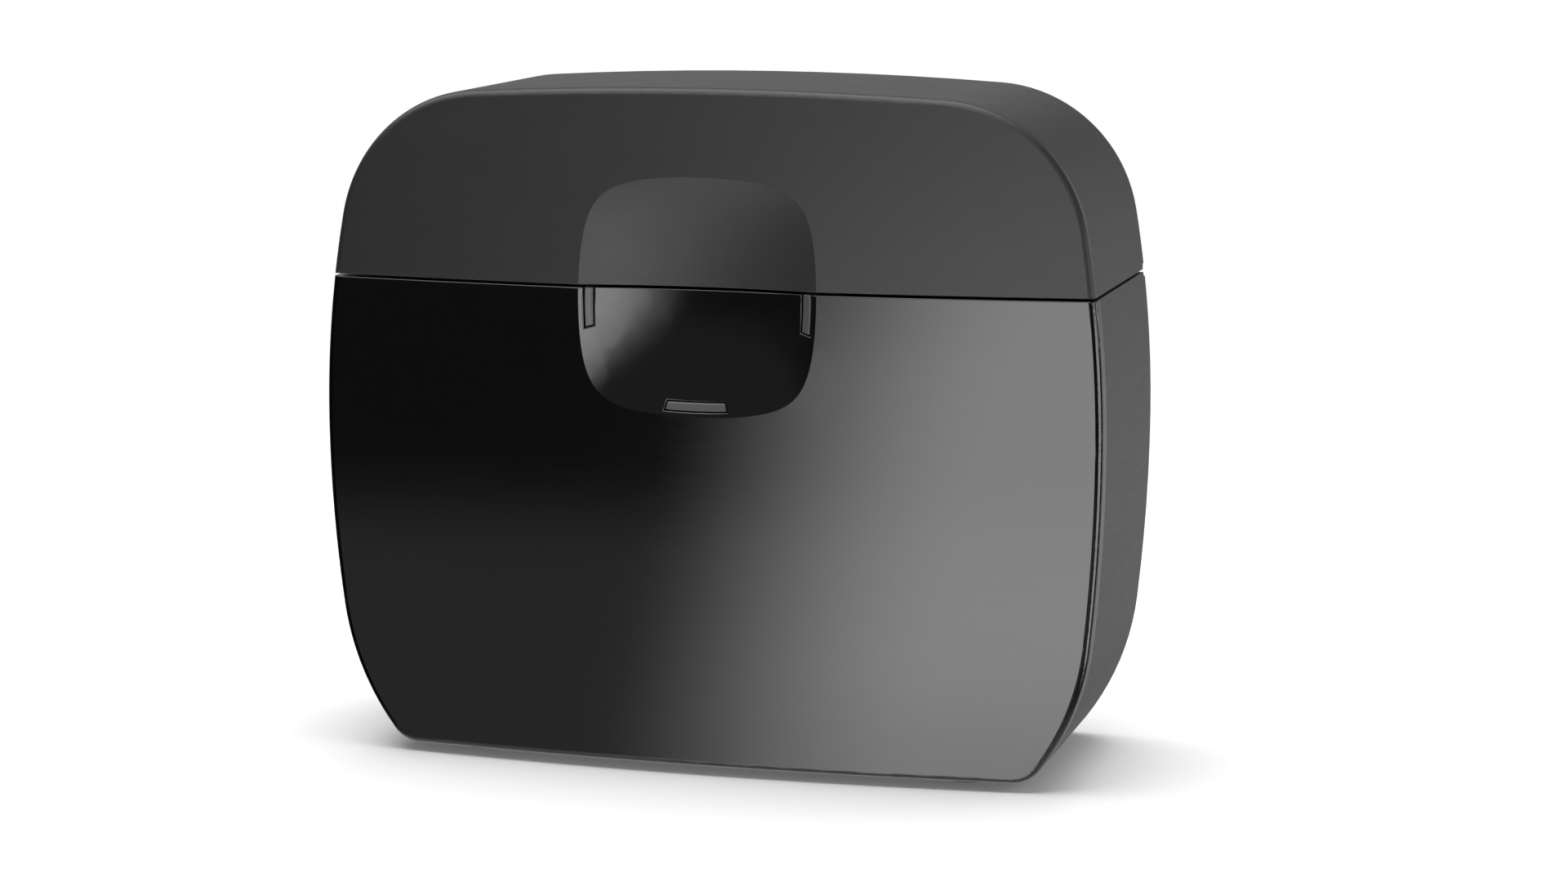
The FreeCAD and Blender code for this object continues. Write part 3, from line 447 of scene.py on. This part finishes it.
for way in (Vector((1, 0, 0)), Vector((-1, 0, 0)), Vector((0, 1, 0)), Vector((0, -1, 0))):
    bpy.ops.object.mode_set(mode="EDIT")
    bpy.ops.mesh.select_mode(type="FACE")
    bpy.ops.mesh.select_all(action="DESELECT")
    bpy.ops.object.mode_set(mode="OBJECT")
    for face in cross.data.polygons:
        off_axis = (face.center - Vector((head_x, head_y, low.z))).cross(way).length
        face.select = face.normal.dot(way) > square_on and off_axis < cross_width / 4
    bpy.ops.object.mode_set(mode="EDIT")
    bpy.ops.mesh.extrude_region_move(
        TRANSFORM_OT_translate={"value": way * (cross_reach - cross_width / 2)})
bpy.ops.mesh.select_mode(type="VERT")
bpy.ops.mesh.select_all(action="DESELECT")
bpy.ops.object.mode_set(mode="OBJECT")
for vertex in cross.data.vertices:
    vertex.select = vertex.co.z > low.z
bpy.ops.object.mode_set(mode="EDIT")
bpy.ops.transform.resize(value=(cross_taper, cross_taper, 1),
                         center_override=(head_x, head_y, low.z))
bpy.ops.mesh.select_all(action="SELECT")
bpy.ops.mesh.normals_make_consistent(inside=False)
bpy.ops.object.mode_set(mode="OBJECT")
bpy.ops.object.select_all(action="DESELECT")
bpy.context.view_layer.objects.active = screw
screw.select_set(True)
sinking = screw.modifiers.new("cross", "BOOLEAN")
sinking.operation = "DIFFERENCE"
sinking.object = cross
bpy.ops.object.modifier_apply(modifier="cross")
bpy.data.objects.remove(cross)
bpy.ops.object.shade_smooth_by_angle(angle=smooth_angle)
screw.data.materials.clear()
screw.data.materials.append(screw_steel)
spots = [(side_x, side_y) for side_x in (1, -1) for side_y in (1, -1)]
for number, (side_x, side_y) in enumerate(spots):
    bpy.ops.object.select_all(action="DESELECT")
    driven = bpy.data.objects.new("liner_screw_%d" % (number + 1), screw.data.copy())
    bpy.context.scene.collection.objects.link(driven)
    bpy.context.view_layer.objects.active = driven
    driven.select_set(True)
    bpy.ops.object.mode_set(mode="EDIT")
    bpy.ops.mesh.select_all(action="SELECT")
    bpy.ops.transform.rotate(value=screw_turns[number], orient_axis="Z",
                             center_override=(head_x, head_y, 0))
    bpy.ops.transform.translate(value=(head_x * (side_x - 1), head_y * (side_y - 1), 0))
    bpy.ops.object.mode_set(mode="OBJECT")
    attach(driven, "lid")
    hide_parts("liner_screws")
bpy.data.objects.remove(screw)

# Aid pads: soft foam blocks glued inside the lid, which press the aids down.
# Each is a block with rounded corners, crowned underneath and flat on the liner.
pad_foam = finish("pad_foam", (0.03, 0.03, 0.032), rough=0.85, grain=2200.0, bump=0.00005,
                  tone=0.25)
pad_top_gap = 0.0004
pad_corner = 0.0044
pad_soft_edge = 0.0013
pad_crown = 0.0005
corner_steps = 9
soft_steps = 5
crown_rings = 3
for side in ("left", "right"):
    low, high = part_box("aid_pad_" + side)
    high.z -= pad_top_gap
    bpy.ops.object.select_all(action="DESELECT")
    bpy.ops.mesh.primitive_cube_add(size=1, location=(low + high) / 2, scale=high - low)
    pad = bpy.context.object
    pad.name = "foam_pad_" + side
    bpy.ops.object.transform_apply(location=True, rotation=True, scale=True)
    bpy.ops.object.mode_set(mode="EDIT")
    bpy.ops.mesh.select_mode(type="EDGE")
    bpy.ops.mesh.select_all(action="DESELECT")
    bpy.ops.object.mode_set(mode="OBJECT")
    for edge in pad.data.edges:
        ends = [pad.data.vertices[index].co for index in edge.vertices]
        edge.select = abs(ends[0].z - ends[1].z) > pad_corner / 3
    bpy.ops.object.mode_set(mode="EDIT")
    bpy.ops.mesh.bevel(offset=pad_corner, segments=corner_steps, affect="EDGES")
    bpy.ops.mesh.select_all(action="DESELECT")
    bpy.ops.object.mode_set(mode="OBJECT")
    for edge in pad.data.edges:
        ends = [pad.data.vertices[index].co for index in edge.vertices]
        edge.select = max(ends[0].z, ends[1].z) < low.z + pad_crown
    bpy.ops.object.mode_set(mode="EDIT")
    bpy.ops.mesh.bevel(offset=pad_soft_edge, segments=soft_steps, affect="EDGES")
    bpy.ops.mesh.select_mode(type="FACE")
    bpy.ops.mesh.select_all(action="DESELECT")
    bpy.ops.object.mode_set(mode="OBJECT")
    for face in pad.data.polygons:
        face.select = face.normal.z < -square_on
    bpy.ops.object.mode_set(mode="EDIT")
    for ring in range(crown_rings):
        bpy.ops.mesh.inset(thickness=pad_corner / 5)
    bpy.ops.mesh.select_all(action="SELECT")
    bpy.ops.mesh.normals_make_consistent(inside=False)
    bpy.ops.object.mode_set(mode="OBJECT")
    middle = (low + high) / 2
    for vertex in pad.data.vertices:
        reach = math.hypot((vertex.co.x - middle.x) * 2 / (high.x - low.x),
                           (vertex.co.y - middle.y) * 2 / (high.y - low.y))
        share = (high.z - vertex.co.z) / (high.z - low.z)
        vertex.co.z += pad_crown * min(reach, 1.0) ** 2 * share
    bpy.ops.object.shade_smooth_by_angle(angle=smooth_angle)
    pad.data.materials.append(pad_foam)
    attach(pad, "lid")
    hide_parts("aid_pad_" + side)

# Floor: a plain pale sweep of studio paper, white to the camera and hidden from gloss.
# It keeps the soft shadow of the case, and fades into the white behind further out.
floor_size = 8
paper_tone = (0.82, 0.82, 0.82, 1)
bounce_tone = (0.25, 0.25, 0.25, 1)
paper_lift = 0.09
fade_start, fade_end = 0.16, 0.36
bpy.ops.object.select_all(action="DESELECT")
bpy.ops.mesh.primitive_plane_add(size=floor_size, location=(0, 0, 0))
floor = bpy.context.object
floor.name = "floor"
floor.visible_glossy = False
floor_white = bpy.data.materials.new("floor_white")
floor_white.use_nodes = True
floor_tree = floor_white.node_tree
floor_tree.nodes.remove(floor_tree.nodes["Principled BSDF"])
floor_lit = floor_tree.nodes.new("ShaderNodeBsdfDiffuse")
floor_tone = floor_tree.nodes.new("ShaderNodeMix")
floor_tone.data_type = "RGBA"
floor_tone.inputs["A"].default_value = bounce_tone
floor_tone.inputs["B"].default_value = paper_tone
floor_lift = floor_tree.nodes.new("ShaderNodeEmission")
floor_far = floor_tree.nodes.new("ShaderNodeEmission")
floor_rays = floor_tree.nodes.new("ShaderNodeLightPath")
floor_share = floor_tree.nodes.new("ShaderNodeMath")
floor_share.operation = "MULTIPLY"
floor_share.inputs[1].default_value = paper_lift
floor_sum = floor_tree.nodes.new("ShaderNodeAddShader")
floor_place = floor_tree.nodes.new("ShaderNodeTexCoord")
floor_reach = floor_tree.nodes.new("ShaderNodeVectorMath")
floor_reach.operation = "LENGTH"
floor_edge = floor_tree.nodes.new("ShaderNodeMapRange")
floor_edge.interpolation_type = "SMOOTHSTEP"
floor_edge.inputs["From Min"].default_value = fade_start
floor_edge.inputs["From Max"].default_value = fade_end
floor_mask = floor_tree.nodes.new("ShaderNodeMath")
floor_mask.operation = "MULTIPLY"
floor_mix = floor_tree.nodes.new("ShaderNodeMixShader")
floor_tree.links.new(floor_rays.outputs["Is Camera Ray"], floor_tone.inputs["Factor"])
floor_tree.links.new(floor_tone.outputs["Result"], floor_lit.inputs["Color"])
floor_tree.links.new(floor_rays.outputs["Is Camera Ray"], floor_share.inputs[0])
floor_tree.links.new(floor_share.outputs[0], floor_lift.inputs["Strength"])
floor_tree.links.new(floor_lit.outputs[0], floor_sum.inputs[0])
floor_tree.links.new(floor_lift.outputs[0], floor_sum.inputs[1])
floor_tree.links.new(floor_place.outputs["Object"], floor_reach.inputs[0])
floor_tree.links.new(floor_reach.outputs["Value"], floor_edge.inputs["Value"])
floor_tree.links.new(floor_edge.outputs[0], floor_mask.inputs[0])
floor_tree.links.new(floor_rays.outputs["Is Camera Ray"], floor_mask.inputs[1])
floor_tree.links.new(floor_mask.outputs[0], floor_mix.inputs[0])
floor_tree.links.new(floor_sum.outputs[0], floor_mix.inputs[1])
floor_tree.links.new(floor_far.outputs[0], floor_mix.inputs[2])
floor_tree.links.new(floor_mix.outputs[0], floor_tree.nodes["Material Output"].inputs["Surface"])
floor.data.materials.append(floor_white)

# Studio: an even pale surround, white behind the object. Gloss sees a dim room with one
# broad soft screen low in front on the right, a narrow strip of light at the right end,
# a bright ceiling, a paler wall behind and a glow from the floor.
room = bpy.data.worlds.new("studio")
bpy.context.scene.world = room
room.use_nodes = True
room_tree = room.node_tree
room_back = room_tree.nodes["Background"]
room_back.inputs["Color"].default_value = (1, 1, 1, 1)
room_rays = room_tree.nodes.new("ShaderNodeLightPath")
room_way = room_tree.nodes.new("ShaderNodeTexCoord")
room_axes = room_tree.nodes.new("ShaderNodeSeparateXYZ")
room_tree.links.new(room_way.outputs["Generated"], room_axes.inputs[0])


def room_math(operation, first, second):
    """One sum in the surround, on sockets or plain numbers."""
    node = room_tree.nodes.new("ShaderNodeMath")
    node.operation = operation
    for index, value in enumerate((first, second)):
        if isinstance(value, (int, float)):
            node.inputs[index].default_value = value
        else:
            room_tree.links.new(value, node.inputs[index])
    return node.outputs[0]


def room_ramp(value, low, high, first, last):
    """A smooth change of strength between two directions."""
    node = room_tree.nodes.new("ShaderNodeMapRange")
    node.interpolation_type = "SMOOTHSTEP"
    room_tree.links.new(value, node.inputs["Value"])
    node.inputs["From Min"].default_value = low
    node.inputs["From Max"].default_value = high
    node.inputs["To Min"].default_value = first
    node.inputs["To Max"].default_value = last
    return node.outputs[0]


def room_mask(value, *ramps):
    """A strength, dimmed by one ramp after another."""
    for ramp in ramps:
        value = room_math("MULTIPLY", value, room_ramp(*ramp))
    return value


across, along, up = (room_axes.outputs[axis] for axis in "XYZ")
plain_light = 0.2
screen_light, ceiling_light, wall_light = 5.2, 3.8, 0.32
gleam_light, strip_light, ground_light = 0.29, 5.0, 0.85
screen_lean, screen_bend, bend_start = 0.23, 0.35, 0.1
rise = room_math("MAXIMUM", room_math("ADD", up, bend_start), 0.0)
slant = room_math("SUBTRACT", across, room_math("MULTIPLY", up, screen_lean))
slant = room_math("SUBTRACT", slant, room_math("MULTIPLY", rise, screen_bend))
front = room_ramp(along, -0.75, -0.45, 1.0, 0.0)
screen = room_mask(room_ramp(slant, -0.29, 0.03, 0.0, screen_light),
                   (across, 0.18, 0.37, 1.0, 0.0),
                   (up, 0.02, 0.17, 1.0, 0.0),
                   (up, -0.55, -0.35, 0.65, 1.0))
haze = room_math("ADD", room_ramp(up, -0.29, -0.19, 0.4, 0.05),
                 room_ramp(up, -0.05, 0.1, 0.0, 0.15))
screen = room_math("MULTIPLY", front, room_math("ADD", screen, haze))
ceiling = room_mask(room_ramp(up, 0.42, 0.62, 0.0, ceiling_light),
                    (across, 0.1, 0.4, 1.0, 0.0),
                    (along, 0.1, 0.5, 1.0, 0.0))
shade = room_mask(room_ramp(across, -0.1, 0.15, 0.0, 1.0), (up, -0.2, 0.0, 0.0, 0.68))
wall = room_math("MULTIPLY", room_ramp(along, 0.2, 0.7, 0.0, wall_light),
                 room_math("SUBTRACT", 1.0, shade))
gleam = room_mask(room_ramp(across, 0.1, 0.22, 0.0, gleam_light),
                  (across, 0.6, 0.8, 1.0, 0.0),
                  (up, -0.4, -0.28, 0.0, 1.0),
                  (up, -0.12, -0.02, 1.0, 0.0),
                  (along, 0.45, 0.7, 0.0, 1.0))
strip = room_mask(room_ramp(across, 0.78, 0.88, 0.0, strip_light),
                  (along, -0.02, 0.25, 1.0, 0.0),
                  (up, -0.02, 0.12, 1.0, 0.0),
                  (up, -0.6, -0.4, 0.0, 1.0))
ground = room_ramp(up, -0.8, -0.5, ground_light, 0.0)
glossy = screen
for part in (ceiling, gleam, wall, ground, strip):
    glossy = room_math("ADD", glossy, part)
mirrored, seen = room_rays.outputs["Is Glossy Ray"], room_rays.outputs["Is Camera Ray"]
plain = room_math("MULTIPLY", room_math("SUBTRACT", 1.0, mirrored), plain_light)
light = room_math("ADD", room_math("MULTIPLY", glossy, mirrored), plain)
light = room_math("ADD", room_math("MULTIPLY", light, room_math("SUBTRACT", 1.0, seen)), seen)
room_tree.links.new(light, room_back.inputs["Strength"])

# Lamps: large soft boxes above, to the right and ahead. One more above lights the floor
# alone, so that the pale sweep stays white without washing out the dark case.
lamp_aim = Vector((0, 0, 0.04))
floor_alone = bpy.data.collections.new("floor_alone")
floor_alone.objects.link(floor)
for name, place, size, power in (("lamp_top", (0.1, 0.1, 0.9), 0.8, 3.1),
                                 ("lamp_right", (0.7, 0.6, 0.3), 0.6, 2.0),
                                 ("lamp_front", (0.35, -0.9, 0.5), 0.5, 0.6),
                                 ("lamp_floor", (-0.09, -0.045, 1.0), 0.95, 11.7)):
    lamp = bpy.data.objects.new(name, bpy.data.lights.new(name, "AREA"))
    lamp.data.energy = power
    lamp.data.size = size
    lamp.location = place
    lamp.rotation_euler = (lamp_aim - Vector(place)).to_track_quat("-Z", "Y").to_euler()
    bpy.context.scene.collection.objects.link(lamp)
    if name == "lamp_floor":
        lamp.light_linking.receiver_collection = floor_alone

# Camera: where the photograph was taken from, a little above the case and to its right,
# with a long lens that keeps the sides nearly parallel.
camera_place = (0.12754, -0.43132, 0.11279)
camera_way = Vector((-0.26826, 0.94940, -0.16333))
camera = bpy.data.objects.new("camera", bpy.data.cameras.new("camera"))
camera.data.lens = 85.34
camera.data.sensor_width = 36
camera.data.clip_start = 0.01
camera.location = camera_place
camera.rotation_euler = camera_way.to_track_quat("-Z", "Y").to_euler()
bpy.context.scene.collection.objects.link(camera)
bpy.context.scene.camera = camera
